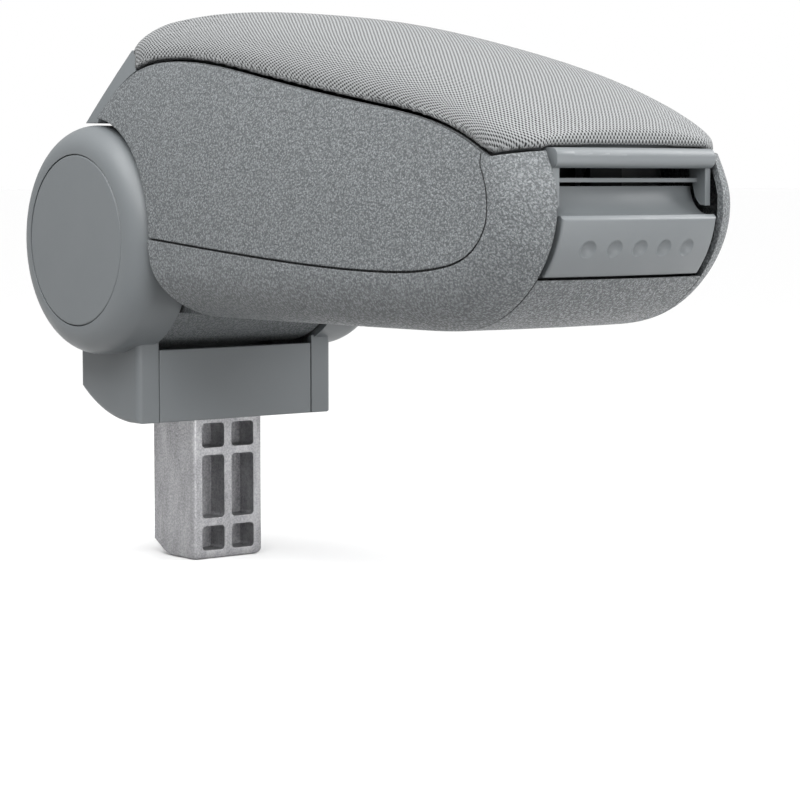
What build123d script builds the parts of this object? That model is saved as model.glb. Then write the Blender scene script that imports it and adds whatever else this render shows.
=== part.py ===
# Car centre armrest: padded storage box that tilts on a bracket with a die-cast plug-in post.
# Frame: millimetres, +X towards the nose, +Y to the left, +Z up. The origin is the centre of the
# post's section at the level where it leaves the bracket. Side profiles are drawn about the tilt axis.
from build123d import *
import math
import os

# Tilt axis above the origin
axis_x = 2.3
axis_z = 80.0

# Post and its head
post_depth = 32.0
post_width = 37.5
post_length = 64.0
post_foot_rise = 7.0
post_foot_flat = 20.0
post_corner = 3.0
post_margin = 4.7
post_rib = 4.0
pocket_depth = 11.0
pocket_corner = 1.8
pocket_heights = (11.0, 28.5, 11.0)
pocket_ribs = (4.0, 3.6, 3.4)
head_depth = 28.0
head_height = 20.0
ear_thickness = 5.0
ear_eye_radius = 16.0
ear_foot_width = 34.0

# Bracket covers
wall = 3.0
hub_radius = 50.0
hub_round = 12.0
hub_face = 70.9
hub_inner = 43.0
hub_web = 64.0
block_half_width = 52.7
block_front = 21.0
block_rear = -26.0
block_rear_bottom = -66.0
block_rear_sag = -76.2
block_flat_from = 12.0
block_top = -25.0
block_corner = 2.5
post_hole_gap = 0.5
plate_half_width = 41.2
plate_top = -48.0
plate_gap = 0.4
plate_leg_width = 6.0
plate_leg_y = 30.0
cap_radius = 37.5
cap_thickness = 3.0
cap_gap = 0.35
cap_round = 0.8

# Shaft, fits and fasteners
shaft_radius = 5.0
fit_gap = 0.05
loose_gap = 0.5
shaft_half_length = 58.0
nut_across_flats = 17.0
nut_height = 6.0
washer_radius = 12.0
side_gap = 0.2
screw_radius = 1.5
screw_head_radius = 3.4
screw_head_height = 1.8
screw_length = 9.0
cover_screw_x = 6.0
cover_screw_y = 36.0

# Box envelope
half_width = 68.0
widest_z = -5.0
flank_radius = 414.0
flank_bow_radius = 2150.0
widest_x = 60.0
bottom_z = -31.0
edge_round = 22.0
nose_x = 285.0
nose_bow_radius = 300.0
nose_low = (262.0, -20.5)
nose_mid_z = 5.4
nose_mid_back = 2.0
nose_tip_z = 19.0
nose_top = (279.5, 35.6)
nose_lean = 0.5
nose_end_z = 110.0
bottom_flat_to = 215.0
envelope_top = 100.0
envelope_rear = -30.0

# Flank outline and seam under the lid
shell_rear_radius = 53.0
seam_start_x = 5.5
seam_points = (
    (20.6, 65.8),
    (33.0, 72.3),
    (56.0, 75.6),
    (126.0, 66.5),
    (197.6, 54.1),
    (244.0, 42.8),
    (259.4, 34.5),
)
shoulder_slope = 0.14
shell_heel = ((84.0, -34.0), (61.0, -19.0))
split_y = 42.0
split_gap = 0.4

# Flank inlay
inlay_depth = 1.6
inlay_recess = 0.35
inlay_groove = 0.5
inlay_low_points = ((44.0, 2.0), (83.4, -1.2), (141.0, -5.7), (202.6, -8.6), (237.6, -6.5), (252.5, -1.3))
inlay_front_points = ((261.0, 9.8), (261.2, 20.5), (257.0, 31.5))

# Barrel and bottom panel
barrel_radius = 47.5
barrel_clearance = 1.5
nose_sill_z = -10.2
barrel_open_from = 20.0
barrel_open_top = 40.0
throat_wall_top = 5.0

# Tray
tray_rear = 66.0
tray_front = 246.0
tray_floor = -24.0
tray_half_width = 49.5
tray_wall = 2.5
tray_seam_drop = 4.0
tray_corner = 9.0
tray_boss_radius = 4.5
tray_screw_x = (110.0, 200.0)
tray_screw_y = 30.0
flank_boss_radius = 4.0
flank_boss_places = ((95.0, 40.0), (150.0, 30.0), (205.0, 20.0))

# Hinge arms
arm_thickness = 3.0
arm_y = 33.0
arm_eye_radius = 13.0
arm_foot_inner_y = 17.0
arm_foot_low = -16.0
arm_foot_high = 24.0
bush_radius = 7.0
bush_flange_radius = 9.0
bush_flange = 1.0
rivet_radius = 2.0
rivet_head_radius = 4.0
rivet_head_height = 1.6
rivet_y = 25.0
rivet_z = (-9.0, 17.0)

# Lid
lid_gap = 1.0
lid_thickness = 3.5
lid_inset = 2.2
board_inset = 5.0
board_from = 30.0
skirt_outer_low = (-6.0, 51.0)
skirt_outer_high = (24.5, 81.7)
skirt_depth = 11.0
skirt_foot = (3.6, 53.6)
lid_pin = (-12.0, 54.0)
lid_pin_radius = 2.0
knuckle_radius = 4.2
knuckle_inner_y = 8.0
knuckle_outer_y = 20.0
lug_half_width = 7.5
outer_lug_width = 7.0
lip_half_width = 40.0
lip_depth = 13.0
lip_low = 30.6
lip_high = 38.0
lip_back = 3.0
lip_round = 3.0
catch_rib_low = 25.4
catch_rib_high = 27.0
catch_rib_depth = 4.5
catch_rib_back = 10.0
catch_web_width = 2.0
jamb_back = 272.6
jamb_front = 279.5
jamb_low = 16.6
jamb_sole = (276.6, 17.0)
jamb_heel = (274.2, 19.6)
jamb_calf_z = 25.0
jamb_inner_y = 37.0
striker_half_width = 8.0
striker_x = 260.0
striker_thickness = 2.0
striker_low = 19.0
striker_tip = (255.8, 23.5)
striker_shoulder = 30.5
striker_flange = 1.5
striker_flange_front = 268.5
striker_screw_x = 265.5
striker_screw_y = 4.5
striker_screw_radius = 1.2
striker_screw_head = 2.4

# Cushion stations: X, seam height, half width, crest height
cushion_stations = (
    (21.0, 74.0, 53.5, 90.0),
    (27.0, 77.5, 58.0, 95.5),
    (45.0, 79.0, 59.3, 98.5),
    (80.0, 77.5, 59.6, 96.5),
    (117.0, 72.5, 59.8, 92.5),
    (165.0, 64.5, 59.4, 83.5),
    (215.0, 54.5, 58.0, 71.0),
    (245.0, 46.0, 56.3, 60.5),
    (264.0, 40.5, 51.5, 51.5),
    (275.0, 40.0, 40.0, 44.5),
)
cushion_floor = 20.0
cushion_shares = (0.98, 0.88, 0.55)
cushion_fullness = 2.4
cushion_gap = 0.3

# Latch
paddle_half_width = 39.0
paddle_face_low = (274.0, -9.2)
paddle_face_top = (284.0, 12.0)
paddle_face_mid = (280.6, 0.8)
paddle_brow = (282.4, 13.4)
scoop_mid = (274.5, 15.0)
scoop_top = (270.0, 24.0)
paddle_back_x = 266.0
paddle_edge_round = 1.2
latch_pin = (267.0, -5.5)
latch_pin_radius = 2.0
latch_boss_radius = 4.0
catch_half_width = 6.0
catch_stem_back = 251.5
catch_stem_thickness = 3.0
catch_arm_low = 8.0
catch_arm_high = 13.0
catch_stem_top = 31.0
catch_nose_low = 22.5
catch_nose_tip = (257.0, 26.8)
dimple_count = 5
dimple_pitch = 12.64
dimple_z = -0.4
dimple_ball = 4.2
dimple_width = 5.5
bracket_plate = 3.0
bracket_cheek = 1.6
bracket_top = 15.0
bracket_shelf_low = -14.0
bracket_shelf = 2.4
bracket_room_gap = 0.4
spring_radius = 3.4
spring_wire = 0.45
spring_turns = 4
spring_z = 3.0

os.makedirs("parts", exist_ok=True)


def side_plane(y):
    """Plane of a side profile at the given Y, drawn about the tilt axis, X forward and Z up."""
    return Plane((axis_x, y, axis_z), x_dir=(1, 0, 0), z_dir=(0, -1, 0))


def bow_axis():
    """Upright axis that the bowed nose is turned about."""
    return Axis((axis_x + nose_x - nose_bow_radius, 0, 0), (0, 0, 1))


def finish(piece, name):
    """Label a finished piece and write it."""
    piece.part.label = name
    export_step(piece.part, f"parts/{name}.step")


def block(x_from, x_to, y_from, y_to, z_from, z_to):
    """Straight block given by its limits about the tilt axis."""
    with BuildPart() as body:
        with BuildSketch(side_plane(y_to)):
            with BuildLine():
                Polyline((x_from, z_from), (x_to, z_from), (x_to, z_to), (x_from, z_to), close=True)
            make_face()
        extrude(amount=y_to - y_from)
    return body.part


def envelope(inset):
    """Closed outer form of the box, taken in by an inset on every side."""
    side = half_width - inset
    low = bottom_z + inset
    reach = flank_radius - math.sqrt(flank_radius**2 - (envelope_top - widest_z) ** 2)
    foot = flank_radius - math.sqrt(flank_radius**2 - (low - widest_z) ** 2)
    bow_y = half_width - flank_bow_radius
    widest = (axis_x + widest_x, 0, axis_z)
    far = nose_x + edge_round
    with BuildPart() as form:
        add(block(envelope_rear, far, -half_width, half_width, low, envelope_top))
        for sign in (1, -1):
            with BuildSketch(Plane(widest, x_dir=(0, sign, 0), z_dir=(sign, 0, 0))):
                with BuildLine():
                    ThreePointArc((side - foot, low), (side, widest_z), (side - reach, envelope_top))
                    Polyline(
                        (side - reach, envelope_top), (bow_y, envelope_top), (bow_y, low), (side - foot, low)
                    )
                make_face()
            flank_axis = Axis((axis_x + widest_x, sign * bow_y, 0), (0, 0, 1))
            revolve(axis=flank_axis, mode=Mode.INTERSECT)
        with BuildSketch(side_plane(0)):
            with BuildLine():
                hub_line = nose_x - nose_bow_radius
                slant = inset * math.sqrt(0.5)
                start = (bottom_flat_to, low)
                brow = (nose_top[0] - inset, nose_top[1])
                end = (brow[0] - nose_lean * (nose_end_z - brow[1]), nose_end_z)
                Spline(
                    start,
                    (nose_low[0] - slant, nose_low[1] + slant),
                    (nose_x - nose_mid_back - inset, nose_mid_z),
                    (nose_x - inset, nose_tip_z),
                    brow,
                    tangents=((1, 0), (-nose_lean, 1)),
                )
                Line(brow, end)
                Line(end, (hub_line, nose_end_z))
                Line((hub_line, nose_end_z), (hub_line, low))
                Line((hub_line, low), start)
            make_face()
        revolve(axis=bow_axis(), mode=Mode.INTERSECT)
        flanks = (form.faces().sort_by(Axis.Y)[0], form.faces().sort_by(Axis.Y)[-1])
        rear = axis_x + envelope_rear
        top = axis_z + envelope_top
        chain = [
            edge
            for flank in flanks
            for edge in flank.edges()
            if edge.center().X > rear + inset + wall and edge.center().Z < top - wall
        ]
        fillet(chain, edge_round - inset)
    return form.part


def seam_curve(rise, back=0):
    """Seam line between box and lid from the rear edge to the nose, raised and moved back."""
    start_z = math.sqrt(shell_rear_radius**2 - seam_start_x**2)
    points = ((seam_start_x, start_z), *seam_points)
    return Spline(*((x - back, z + rise) for x, z in points))


def shoulder_z(seam_end, x):
    """Height of the nose shoulder, which rises from the seam's front end towards the lip."""
    return seam_end.Y + shoulder_slope * (x - seam_end.X)


def box_region(amount_from, amount_to):
    """Prism of the flank outline below the seam, between two Y values."""
    far = nose_x + edge_round
    deep = bottom_z - edge_round
    heel, bulge = shell_heel
    with BuildPart() as region:
        with BuildSketch(side_plane(amount_to)):
            with BuildLine():
                seam = seam_curve(0)
                Polyline(seam @ 1, (far, shoulder_z(seam @ 1, far)), (far, deep), (heel[0], deep), heel)
                ThreePointArc(heel, bulge, (shell_rear_radius, 0))
                sweep_angle = math.degrees(math.acos(seam_start_x / shell_rear_radius))
                CenterArc((0, 0), shell_rear_radius, 0, sweep_angle)
            make_face()
        extrude(amount=amount_to - amount_from)
    return region.part


outer_form = envelope(0)
inner_form = envelope(wall)
inlay_floor_form = envelope(inlay_depth)
inlay_face_form = envelope(inlay_recess)
bracket_room = envelope(wall + bracket_room_gap)

# Shared places along the tilt axis
barrel_end = split_y - split_gap
ear_outer = block_half_width - wall - loose_gap
ear_inner = ear_outer - ear_thickness
head_top = head_height + wall + loose_gap - axis_z


def block_face(inset):
    """Side outline of the bracket's block, taken in by an inset."""
    middle_x = (block_flat_from + block_rear) / 2
    with BuildSketch() as outline:
        with BuildLine():
            Polyline(
                (block_rear, block_rear_bottom),
                (block_rear, block_top),
                (block_front, block_top),
                (block_front, -axis_z),
                (block_flat_from, -axis_z),
            )
            ThreePointArc(
                (block_flat_from, -axis_z), (middle_x, block_rear_sag), (block_rear, block_rear_bottom)
            )
        make_face()
        if inset:
            offset(amount=-inset)
    return outline.sketch


def ring(y_from, y_to, radius, bore=0):
    """Round body about the tilt axis between two Y values."""
    with BuildPart() as body:
        with BuildSketch(side_plane(y_from)):
            Circle(radius)
            if bore:
                Circle(bore, mode=Mode.SUBTRACT)
        extrude(amount=y_from - y_to)
    return body.part


def bowed_bar(outline, y_half):
    """Bar of the given side outline that follows the bow of the nose."""
    with BuildPart() as bar:
        with BuildSketch(side_plane(0)):
            add(outline)
        revolve(axis=bow_axis())
        add(block(0, nose_x + edge_round, -y_half, y_half, 2 * bottom_z, envelope_top), mode=Mode.INTERSECT)
    return bar.part


def screw(x, y, z, head_radius, shank_radius, length):
    """Screw that points up, with the underside of its head at the given height about the axis."""
    with BuildPart() as body:
        with BuildSketch(Plane((axis_x + x, y, axis_z + z - screw_head_height))):
            Circle(head_radius)
        extrude(amount=screw_head_height)
        with BuildSketch(Plane((axis_x + x, y, axis_z + z))):
            Circle(shank_radius)
        extrude(amount=length)
    return body.part


def upright_hole(x, y, z_from, z_to, radius):
    """Round cutter that stands upright at a place about the axis."""
    with BuildPart() as cutter:
        with BuildSketch(Plane((axis_x + x, y, axis_z + z_from))):
            Circle(radius)
        extrude(amount=z_to - z_from)
    return cutter.part


# Die-cast post with cored pockets in its front, cross head and two ears for the shaft
with BuildPart() as mount_post:
    with BuildSketch(Plane.XZ):
        with BuildLine():
            Polyline(
                (post_depth / 2, head_top + axis_z),
                (post_depth / 2, -post_length),
                (post_depth / 2 - post_foot_flat, -post_length),
                (-post_depth / 2, post_foot_rise - post_length),
                (-post_depth / 2, head_top + axis_z),
                close=True,
            )
        make_face()
    extrude(amount=post_width / 2, both=True)
    fillet(mount_post.edges().filter_by(Axis.Z).group_by(Axis.X)[-1], post_corner / 2)
    fillet(mount_post.edges().group_by(Axis.Z)[0].sort_by(Axis.X)[-1], post_corner)
    pocket_width = (post_width - 2 * post_margin - post_rib) / 2
    pocket_y = (pocket_width + post_rib) / 2
    pocket_low = -post_length
    for pocket_height, pocket_rib in zip(pocket_heights, pocket_ribs):
        pocket_low += pocket_rib
        pocket_mid = pocket_low + pocket_height / 2
        with BuildSketch(Plane((post_depth / 2, 0, pocket_mid), x_dir=(0, 1, 0), z_dir=(1, 0, 0))):
            with Locations((-pocket_y, 0), (pocket_y, 0)):
                RectangleRounded(pocket_width, pocket_height, pocket_corner)
        extrude(amount=-pocket_depth, mode=Mode.SUBTRACT)
        pocket_low += pocket_height
    with BuildSketch(side_plane(0)):
        add(block_face(wall + loose_gap))
        with Locations((0, head_top - axis_z / 2)):
            Rectangle(head_depth, axis_z, mode=Mode.INTERSECT)
    extrude(amount=ear_outer, both=True)
    for side in (1, -1):
        with BuildSketch(side_plane(side * ear_inner)):
            with BuildLine():
                Polyline(
                    (-ear_foot_width / 2, head_top - head_height / 2),
                    (ear_foot_width / 2, head_top - head_height / 2),
                    (ear_eye_radius, 0),
                    (-ear_eye_radius, 0),
                    close=True,
                )
            make_face()
            Circle(ear_eye_radius)
        extrude(amount=-side * ear_thickness)
        add(
            upright_hole(
                cover_screw_x, side * cover_screw_y, -axis_z, screw_length - axis_z, screw_radius + fit_gap
            ),
            mode=Mode.SUBTRACT,
        )
    add(ring(-hub_face, hub_face, shaft_radius + fit_gap), mode=Mode.SUBTRACT)
finish(mount_post, "mount_post")


def hub_drum(side):
    """Solid hub with its rounded outer edge."""
    with BuildPart() as drum:
        add(ring(side * hub_inner, side * hub_face, hub_radius))
        fillet(drum.edges().sort_by(Axis.Y)[-1 if side > 0 else 0], hub_round)
    return drum.part


def bracket_cover(side):
    """Moulded cover of one side: hub drum, cheek and half of the block."""
    with BuildPart() as cover:
        with BuildSketch(side_plane(0)):
            add(block_face(0))
        extrude(amount=-side * block_half_width)
        cheek = cover.faces().sort_by(Axis.Y)[-1 if side > 0 else 0]
        rim = [edge for edge in cheek.edges() if edge.center().Z < axis_z + block_top - wall]
        fillet(rim, block_corner)
        add(hub_drum(side))
        with BuildSketch(side_plane(0)):
            add(block_face(wall))
        extrude(amount=-side * (block_half_width - wall), mode=Mode.SUBTRACT)
        add(ring(0, side * hub_inner, barrel_radius + barrel_clearance), mode=Mode.SUBTRACT)
        add(ring(side * hub_inner, side * hub_web, hub_radius - wall), mode=Mode.SUBTRACT)
        add(ring(side * (hub_face - cap_thickness), side * hub_face, cap_radius), mode=Mode.SUBTRACT)
        front_room = plate_half_width + plate_gap
        seat_back = block_front - wall - plate_gap
        seat_front = block_front + wall
        add(
            block(seat_back, seat_front, -front_room, front_room, -2 * axis_z, block_top),
            mode=Mode.SUBTRACT,
        )
        with BuildSketch(Plane.XY.offset(-wall)):
            Rectangle(post_depth + 2 * post_hole_gap, post_width + 2 * post_hole_gap)
        extrude(amount=head_height, mode=Mode.SUBTRACT)
        for radius, low, high in (
            (screw_head_radius + fit_gap, -wall, screw_head_height),
            (screw_radius + loose_gap / 2, 0, 2 * wall),
        ):
            add(
                upright_hole(cover_screw_x, side * cover_screw_y, low - axis_z, high - axis_z, radius),
                mode=Mode.SUBTRACT,
            )
    return cover


bracket_cover_left = bracket_cover(1)
bracket_cover_right = bracket_cover(-1)
finish(bracket_cover_left, "bracket_cover_left")
finish(bracket_cover_right, "bracket_cover_right")

# Front plate with two legs that stand on the cross head
with BuildPart() as bracket_front_plate:
    add(block(block_front - wall, block_front, -plate_half_width, plate_half_width, -axis_z, plate_top))
    fillet(bracket_front_plate.faces().sort_by(Axis.X)[-1].edges(), plate_gap)
    for leg_y in (-plate_leg_y, plate_leg_y):
        leg_low = leg_y - plate_leg_width / 2
        leg_high = leg_y + plate_leg_width / 2
        leg_bottom = head_top - head_height / 2
        add(block(head_depth / 2, block_front - wall, leg_low, leg_high, leg_bottom, head_top))
finish(bracket_front_plate, "bracket_front_plate")


def hub_cap(side):
    """Round disc that closes the hub."""
    with BuildPart() as cap:
        add(ring(side * (hub_face - cap_thickness), side * hub_face, cap_radius - cap_gap))
        fillet(cap.edges().sort_by(Axis.Y)[-1 if side > 0 else 0], cap_round)
    return cap


hub_cap_left = hub_cap(1)
hub_cap_right = hub_cap(-1)
finish(hub_cap_left, "hub_cap_left")
finish(hub_cap_right, "hub_cap_right")

# Shaft with its nuts and friction washers
with BuildPart() as hinge_shaft:
    add(ring(-shaft_half_length, shaft_half_length, shaft_radius))
    chamfer(hinge_shaft.edges().filter_by(GeomType.CIRCLE), shaft_radius / 5)
finish(hinge_shaft, "hinge_shaft")

with BuildPart() as shaft_nuts:
    for side in (1, -1):
        with BuildSketch(side_plane(side * ear_outer)):
            RegularPolygon(nut_across_flats / 2, 6, major_radius=False)
            Circle(shaft_radius + fit_gap, mode=Mode.SUBTRACT)
        extrude(amount=-side * nut_height)
finish(shaft_nuts, "shaft_nuts")

with BuildPart() as hinge_washers:
    for side in (1, -1):
        washer_from = side * (barrel_end + side_gap)
        washer_to = side * (ear_inner - side_gap)
        add(ring(washer_from, washer_to, washer_radius, shaft_radius + fit_gap))
finish(hinge_washers, "hinge_washers")

with BuildPart() as cover_screws:
    for side in (1, -1):
        add(
            screw(
                cover_screw_x,
                side * cover_screw_y,
                screw_head_height - axis_z,
                screw_head_radius,
                screw_radius,
                screw_length - screw_head_height,
            )
        )
finish(cover_screws, "cover_screws")


def inlay_region(groove):
    """Prism through both flanks of the inlay's outline, taken in by a groove."""
    low_edge = [(x, z + groove) for x, z in inlay_low_points]
    front_edge = [(x - groove, z) for x, z in inlay_front_points]
    front_x = front_edge[-1][0]
    with BuildPart() as region:
        with BuildSketch(side_plane(0)):
            with BuildLine():
                edge = Spline(*low_edge, *front_edge)
                Polyline(
                    edge @ 1,
                    (front_x, envelope_top + edge_round),
                    (envelope_rear, envelope_top + edge_round),
                    (envelope_rear, (edge @ 0).Y),
                    edge @ 0,
                )
            make_face()
        extrude(amount=half_width + edge_round, both=True)
    return region.part


inlay_room = inlay_region(0)
inlay_outline = inlay_region(inlay_groove)


def flank_region(side):
    """Prism of the flank outline on one side of the box."""
    near = side * split_y
    far = side * (half_width + edge_round)
    return box_region(min(near, far), max(near, far))


def flank_recess():
    """Skin of the box that the inlays take the place of."""
    with BuildPart() as recess:
        add(outer_form)
        add(inlay_floor_form, mode=Mode.SUBTRACT)
        add(inlay_room, mode=Mode.INTERSECT)
    return recess.part


def flank_bosses(side):
    """Bosses inside one flank that stand on the tray."""
    with BuildPart() as bosses:
        with BuildSketch(side_plane(side * tray_half_width)):
            with Locations(*flank_boss_places):
                Circle(flank_boss_radius)
        extrude(amount=-side * (half_width - tray_half_width))
        add(inlay_floor_form, mode=Mode.INTERSECT)
    return bosses.part


def side_shell(side):
    """Flank with the lower band that wraps round the nose, recessed for its inlay."""
    with BuildPart() as shell:
        add(outer_form)
        add(flank_recess(), mode=Mode.SUBTRACT)
        add(inner_form, mode=Mode.SUBTRACT)
        add(flank_region(side), mode=Mode.INTERSECT)
        add(flank_bosses(side))
    return shell


side_shell_left = side_shell(1)
side_shell_right = side_shell(-1)
finish(side_shell_left, "side_shell_left")
finish(side_shell_right, "side_shell_right")


def side_inlay(side):
    """Upper flank panel that lies in the recess of the side shell."""
    with BuildPart() as inlay:
        add(flank_region(side))
        add(inlay_outline, mode=Mode.INTERSECT)
        add(inlay_face_form, mode=Mode.INTERSECT)
        add(inlay_floor_form, mode=Mode.SUBTRACT)
    return inlay


side_inlay_left = side_inlay(1)
side_inlay_right = side_inlay(-1)
finish(side_inlay_left, "side_inlay_left")
finish(side_inlay_right, "side_inlay_right")

# Bottom panel with the barrel that turns between the hubs
pin_reach = math.hypot(*lid_pin)
pin_angle = math.degrees(math.atan2(lid_pin[1], lid_pin[0]))

def polar(radius, angle):
    """Point about the tilt axis from its radius and angle."""
    return (radius * math.cos(math.radians(angle)), radius * math.sin(math.radians(angle)))


lug_foot = polar(barrel_radius - wall / 2, pin_angle)
lug_middle = ((lug_foot[0] + lid_pin[0]) / 2, (lug_foot[1] + lid_pin[1]) / 2)
lug_length = pin_reach - barrel_radius + wall / 2
outer_lug_from = knuckle_outer_y + loose_gap

with BuildPart() as bottom_shell:
    add(block(barrel_open_from, nose_x + edge_round, -barrel_end, barrel_end, 2 * bottom_z, nose_sill_z))
    add(outer_form, mode=Mode.INTERSECT)
    add(inner_form, mode=Mode.SUBTRACT)
    add(ring(-barrel_end, barrel_end, barrel_radius, barrel_radius - wall))
    throat = barrel_end - wall
    floor = bottom_z + wall
    add(block(barrel_open_from, tray_rear, -throat, throat, floor, barrel_open_top), mode=Mode.SUBTRACT)
    for side in (1, -1):
        near = min(side * throat, side * barrel_end)
        add(block(barrel_open_from, tray_rear - loose_gap, near, near + wall, bottom_z, throat_wall_top))
    for side in (1, -1):
        add(ring(side * (barrel_end - wall), side * barrel_end, barrel_radius, shaft_radius + loose_gap))
    for lug_from, lug_to in (
        (-lug_half_width, lug_half_width),
        (outer_lug_from, outer_lug_from + outer_lug_width),
        (-outer_lug_from - outer_lug_width, -outer_lug_from),
    ):
        with BuildSketch(side_plane(lug_to)):
            with Locations(lug_middle):
                SlotCenterToCenter(lug_length, 2 * knuckle_radius, rotation=pin_angle)
            with Locations(lid_pin):
                Circle(lid_pin_radius + fit_gap, mode=Mode.SUBTRACT)
        extrude(amount=lug_to - lug_from)
    for screw_x in tray_screw_x:
        for screw_y in (-tray_screw_y, tray_screw_y):
            head_seat = bottom_z + screw_head_height
            head_room = screw_head_radius + fit_gap
            add(
                upright_hole(screw_x, screw_y, bottom_z - wall, head_seat, head_room),
                mode=Mode.SUBTRACT,
            )
            add(
                upright_hole(screw_x, screw_y, bottom_z, bottom_z + 2 * wall, screw_radius + loose_gap / 2),
                mode=Mode.SUBTRACT,
            )
finish(bottom_shell, "bottom_shell")

# Storage tray: open bin that stands on the bottom panel by four bosses
with BuildPart() as storage_tray:
    tray_length = tray_front - tray_rear
    tray_middle = axis_x + (tray_front + tray_rear) / 2
    with BuildSketch(Plane((tray_middle, 0, axis_z + tray_floor))):
        RectangleRounded(tray_length, 2 * tray_half_width, tray_corner)
    extrude(amount=envelope_top - tray_floor)
    fillet(storage_tray.faces().sort_by(Axis.Z)[0].edges(), tray_corner / 2)
    offset(amount=-tray_wall, openings=storage_tray.faces().sort_by(Axis.Z)[-1])
    add(Pos(0, 0, -tray_seam_drop) * box_region(-half_width, half_width), mode=Mode.INTERSECT)
    for screw_x in tray_screw_x:
        for screw_y in (-tray_screw_y, tray_screw_y):
            add(upright_hole(screw_x, screw_y, bottom_z + wall, tray_floor + tray_wall / 2, tray_boss_radius))
            add(
                upright_hole(screw_x, screw_y, bottom_z, tray_floor + tray_wall / 2, screw_radius + fit_gap),
                mode=Mode.SUBTRACT,
            )
    for rivet_side in (-rivet_y, rivet_y):
        for rivet_height in rivet_z:
            rivet_start = (axis_x + tray_rear - arm_thickness, rivet_side, axis_z + rivet_height)
            with BuildSketch(Plane(rivet_start, x_dir=(0, 1, 0), z_dir=(1, 0, 0))):
                Circle(rivet_radius + fit_gap)
            extrude(amount=arm_thickness + 2 * tray_wall, mode=Mode.SUBTRACT)
finish(storage_tray, "storage_tray")

with BuildPart() as tray_screws:
    for screw_x in tray_screw_x:
        for screw_y in (-tray_screw_y, tray_screw_y):
            head_seat = bottom_z + screw_head_height
            shank = tray_floor + tray_wall / 2 - head_seat
            add(screw(screw_x, screw_y, head_seat, screw_head_radius, screw_radius, shank))
finish(tray_screws, "tray_screws")


def hinge_arm(side):
    """Steel arm from the shaft to the rear wall of the tray, with a bent foot."""
    foot_x = tray_rear - arm_thickness
    arm_outer_y = arm_y + arm_thickness
    with BuildPart() as arm:
        with BuildSketch(side_plane(side * arm_y)):
            with BuildLine():
                Polyline(
                    (0, -arm_eye_radius),
                    (tray_rear, arm_foot_low),
                    (tray_rear, arm_foot_high),
                    (0, arm_eye_radius),
                    close=True,
                )
            make_face()
            Circle(arm_eye_radius)
            Circle(bush_radius + fit_gap, mode=Mode.SUBTRACT)
        extrude(amount=-side * arm_thickness)
        foot_near = min(side * arm_foot_inner_y, side * arm_outer_y)
        foot_far = max(side * arm_foot_inner_y, side * arm_outer_y)
        add(block(foot_x, tray_rear, foot_near, foot_far, arm_foot_low, arm_foot_high))
        for rivet_height in rivet_z:
            rivet_start = (axis_x + foot_x, side * rivet_y, axis_z + rivet_height)
            with BuildSketch(Plane(rivet_start, x_dir=(0, 1, 0), z_dir=(1, 0, 0))):
                Circle(rivet_radius + fit_gap)
            extrude(amount=arm_thickness, mode=Mode.SUBTRACT)
    return arm


hinge_arm_left = hinge_arm(1)
hinge_arm_right = hinge_arm(-1)
finish(hinge_arm_left, "hinge_arm_left")
finish(hinge_arm_right, "hinge_arm_right")

with BuildPart() as arm_rivets:
    for rivet_side in (-rivet_y, rivet_y):
        for rivet_height in rivet_z:
            head_x = axis_x + tray_rear - arm_thickness
            rivet_plane = Plane((head_x, rivet_side, axis_z + rivet_height), x_dir=(0, 1, 0), z_dir=(1, 0, 0))
            with BuildSketch(rivet_plane):
                Circle(rivet_head_radius)
            extrude(amount=-rivet_head_height)
            with BuildSketch(rivet_plane):
                Circle(rivet_radius)
            extrude(amount=arm_thickness + tray_wall)
finish(arm_rivets, "arm_rivets")

with BuildPart() as hinge_bushes:
    for side in (1, -1):
        arm_outer_y = arm_y + arm_thickness
        bush_bore = shaft_radius + fit_gap
        add(ring(side * arm_y, side * arm_outer_y, bush_radius, bush_bore))
        add(ring(side * arm_outer_y, side * (arm_outer_y + bush_flange), bush_flange_radius, bush_bore))
finish(hinge_bushes, "hinge_bushes")


# Latch bracket on the front wall of the tray, with cheeks that carry the paddle's pin
bracket_front = latch_pin[0] + latch_boss_radius
with BuildPart() as latch_bracket:
    add(
        block(
            tray_front, tray_front + bracket_plate, -barrel_end, barrel_end, bracket_shelf_low, bracket_top
        )
    )
    shelf_top = bracket_shelf_low + bracket_shelf
    add(block(tray_front, bracket_front, -barrel_end, barrel_end, bracket_shelf_low, shelf_top))
    cheek_top = latch_pin[1] + 2 * latch_boss_radius
    cheek_inner = barrel_end - bracket_cheek
    add(block(tray_front, bracket_front, cheek_inner, barrel_end, bracket_shelf_low, cheek_top))
    add(block(tray_front, bracket_front, -barrel_end, -cheek_inner, bracket_shelf_low, cheek_top))
    add(bracket_room, mode=Mode.INTERSECT)
    with BuildSketch(side_plane(0)):
        with Locations(latch_pin):
            Circle(latch_pin_radius + fit_gap)
    extrude(amount=half_width, both=True, mode=Mode.SUBTRACT)
finish(latch_bracket, "latch_bracket")

with BuildPart() as latch_pin_rod:
    with BuildSketch(side_plane(0)):
        with Locations(latch_pin):
            Circle(latch_pin_radius)
    extrude(amount=barrel_end, both=True)
finish(latch_pin_rod, "latch_pin")

with BuildPart() as lid_hinge_pin:
    with BuildSketch(side_plane(0)):
        with Locations(lid_pin):
            Circle(lid_pin_radius)
    extrude(amount=outer_lug_from + outer_lug_width, both=True)
finish(lid_hinge_pin, "lid_hinge_pin")

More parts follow.
